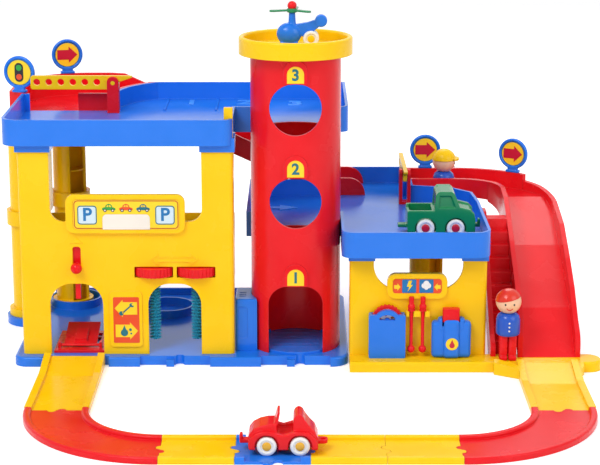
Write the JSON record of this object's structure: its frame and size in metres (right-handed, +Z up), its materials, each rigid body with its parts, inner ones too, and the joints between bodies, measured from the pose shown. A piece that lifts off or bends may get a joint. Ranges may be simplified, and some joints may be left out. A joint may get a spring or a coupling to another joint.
{
  "type": "toy parking garage with lift",
  "caption": "Toy parking garage: decks around a lift tower with crank, helipad, ramps, barriers, wash and repair bays, service station, road track, toy vehicles and figures",
  "frame": {"origin": "centre of the flat underside under the lift tower, on the tower's axis", "axes": "+X to the right along the front and the longest extent, +Y from the front to the back, +Z up"},
  "size_m": [0.7125, 0.6709, 0.4153],
  "materials": {
    "blue_plastic": "glossy moulded plastic",
    "yellow_plastic": "glossy moulded plastic",
    "red_plastic": "glossy moulded plastic",
    "teal_bristle": "glossy moulded plastic",
    "white_plastic": "glossy moulded plastic",
    "green_plastic": "glossy moulded plastic",
    "figure_blue": "glossy moulded plastic"
  },
  "bodies": {
    "garage": {"garage_base": "blue_plastic", "garage_facade": "yellow_plastic", "rear_column_lower": "yellow_plastic", "rear_column_upper": "yellow_plastic", "deck_three": "blue_plastic", "deck_two": "blue_plastic", "upper_curve": "red_plastic", "upper_ramp": "red_plastic", "road_link": "red_plastic", "lower_ramp": "red_plastic", "ramp_stairs": "red_plastic", "tower_shell": "red_plastic", "helipad": "yellow_plastic", "hoist_housing": "blue_plastic", "station_base": "yellow_plastic", "station_wall": "yellow_plastic", "station_rear_column": "yellow_plastic", "pump_cabinet": "blue_plastic", "oil_can": "blue_plastic", "track_entry_left": "yellow_plastic", "track_entry_right": "yellow_plastic", "track_curve_left": "red_plastic", "track_curve_right": "red_plastic", "track_straight_1": "yellow_plastic", "track_straight_2": "yellow_plastic", "track_straight_3": "yellow_plastic", "track_crossing": "blue_plastic", "sign_traffic_light": "blue_plastic", "sign_arrow_1": "blue_plastic", "sign_arrow_2": "blue_plastic", "sign_arrow_3": "blue_plastic", "repair_frame": "red_plastic", "barrier_post_upper": "red_plastic", "barrier_post_lower": "red_plastic"},
    "lift": {"lift_platform": "blue_plastic"},
    "crank": {"hoist_crank": "red_plastic"},
    "wash_left": {"wash_wheel_left": "red_plastic", "wash_brush_left": "teal_bristle"},
    "wash_right": {"wash_wheel_right": "red_plastic", "wash_brush_right": "teal_bristle"},
    "bay_lever": {"repair_lever": "red_plastic"},
    "bay_ramp": {"repair_ramp": "red_plastic"},
    "barrier_upper": {"barrier_boom_upper": "yellow_plastic"},
    "barrier_lower": {"barrier_boom_lower": "yellow_plastic"},
    "dial": {"pump_dial": "red_plastic"},
    "air_nozzle": {"nozzle_air": "red_plastic"},
    "water_nozzle": {"nozzle_water": "red_plastic"},
    "can_cap": {"can_button": "red_plastic"},
    "car": {"car_body": "red_plastic"},
    "car_front": {"car_front_wheels": "white_plastic"},
    "car_rear": {"car_rear_wheels": "white_plastic"},
    "truck": {"truck_body": "green_plastic"},
    "truck_front": {"truck_front_wheels": "white_plastic"},
    "truck_rear": {"truck_rear_wheels": "white_plastic"},
    "helicopter": {"helicopter_body": "blue_plastic"},
    "rotor": {"helicopter_rotor": "green_plastic"},
    "copter_wheels": {"helicopter_wheels": "white_plastic"},
    "helmet_figure": {"figure_helmet": "figure_blue"},
    "redhair_figure": {"figure_redhair": "figure_blue"}
  },
  "joints": [
    {"name": "lift_travel", "type": "slide", "parent": "garage", "child": "lift", "axis": [0, 0, 1], "range_m": [0, 0.253]},
    {"name": "crank_turn", "type": "hinge", "parent": "garage", "child": "crank", "pos_m": [-0.0585, 0.0205, 0.044], "axis": [0, 1, 0], "range_deg": [0, 1820]},
    {"name": "wash_left_spin", "type": "hinge", "parent": "garage", "child": "wash_left", "pos_m": [-0.163, -0.033, 0.1], "axis": [0, 0, 1], "continuous": true},
    {"name": "wash_right_spin", "type": "hinge", "parent": "garage", "child": "wash_right", "pos_m": [-0.1144, -0.033, 0.1], "axis": [0, 0, 1], "continuous": true},
    {"name": "bay_lever_slide", "type": "slide", "parent": "garage", "child": "bay_lever", "axis": [0, 0, 1], "range_m": [0, 0.018]},
    {"name": "bay_ramp_tilt", "type": "hinge", "parent": "garage", "child": "bay_ramp", "pos_m": [-0.2515, -0.03, 0.0174], "axis": [1, 0, 0], "range_deg": [0, 22]},
    {"name": "barrier_upper_swing", "type": "hinge", "parent": "garage", "child": "barrier_upper", "pos_m": [-0.2205, 0.114, 0.3035], "axis": [0, 1, 0], "range_deg": [0, 80]},
    {"name": "barrier_lower_swing", "type": "hinge", "parent": "garage", "child": "barrier_lower", "pos_m": [0.136, 0.168, 0.178], "axis": [1, 0, 0], "range_deg": [0, 80]},
    {"name": "dial_turn", "type": "hinge", "parent": "garage", "child": "dial", "pos_m": [0.105, -0.058, 0.056], "axis": [0, -1, 0], "continuous": true},
    {"name": "air_nozzle_lift", "type": "slide", "parent": "garage", "child": "air_nozzle", "axis": [0, -1, 0], "range_m": [0, 0.03]},
    {"name": "water_nozzle_lift", "type": "slide", "parent": "garage", "child": "water_nozzle", "axis": [0, -1, 0], "range_m": [0, 0.03]},
    {"name": "can_cap_press", "type": "slide", "parent": "garage", "child": "can_cap", "axis": [0, 0, -1], "range_m": [0, 0.004], "stiffness_N_per_m": 200, "springref_m": -0.001},
    {"name": "car_roll", "type": "slide", "parent": "garage", "child": "car", "axis": [1, 0, 0], "range_m": [-0.06, 0.06]},
    {"name": "car_front_spin", "type": "hinge", "parent": "car", "child": "car_front", "pos_m": [-0.0283, -0.3395, 0.01305], "axis": [0, 1, 0], "range_deg": [-350, 350]},
    {"name": "car_rear_spin", "type": "hinge", "parent": "car", "child": "car_rear", "pos_m": [0.005, -0.3395, 0.01305], "axis": [0, 1, 0], "range_deg": [-350, 350]},
    {"name": "truck_roll", "type": "slide", "parent": "garage", "child": "truck", "axis": [1, 0, 0], "range_m": [-0.05, 0.001]},
    {"name": "truck_front_spin", "type": "hinge", "parent": "truck", "child": "truck_front", "pos_m": [0.186, 0.012, 0.15205], "axis": [0, 1, 0], "range_deg": [-290, 10]},
    {"name": "truck_rear_spin", "type": "hinge", "parent": "truck", "child": "truck_rear", "pos_m": [0.151, 0.012, 0.15205], "axis": [0, 1, 0], "range_deg": [-290, 10]},
    {"name": "helicopter_lift_off", "type": "slide", "parent": "garage", "child": "helicopter", "axis": [0, 0, 1], "range_m": [0, 0.06]},
    {"name": "rotor_spin", "type": "hinge", "parent": "helicopter", "child": "rotor", "pos_m": [-0.004, 0, 0.405], "axis": [0, 0, 1], "continuous": true},
    {"name": "copter_wheel_spin", "type": "hinge", "parent": "helicopter", "child": "copter_wheels", "pos_m": [0.0175, 0, 0.37315], "axis": [0, 1, 0], "continuous": true},
    {"name": "helmet_figure_lift_off", "type": "slide", "parent": "garage", "child": "helmet_figure", "axis": [0, 0, 1], "range_m": [0, 0.03]},
    {"name": "redhair_figure_lift_off", "type": "slide", "parent": "garage", "child": "redhair_figure", "axis": [0, 0, 1], "range_m": [0, 0.03]}
  ],
  "couplings": [
    {"joint": "crank_turn", "follows": "lift_travel", "rad_per_m": 125},
    {"joint": "bay_ramp_tilt", "follows": "bay_lever_slide", "rad_per_m": 19.392},
    {"joint": "car_front_spin", "follows": "car_roll", "rad_per_m": 100},
    {"joint": "car_rear_spin", "follows": "car_roll", "rad_per_m": 100},
    {"joint": "truck_front_spin", "follows": "truck_roll", "rad_per_m": 95.238},
    {"joint": "truck_rear_spin", "follows": "truck_roll", "rad_per_m": 95.238}
  ]
}
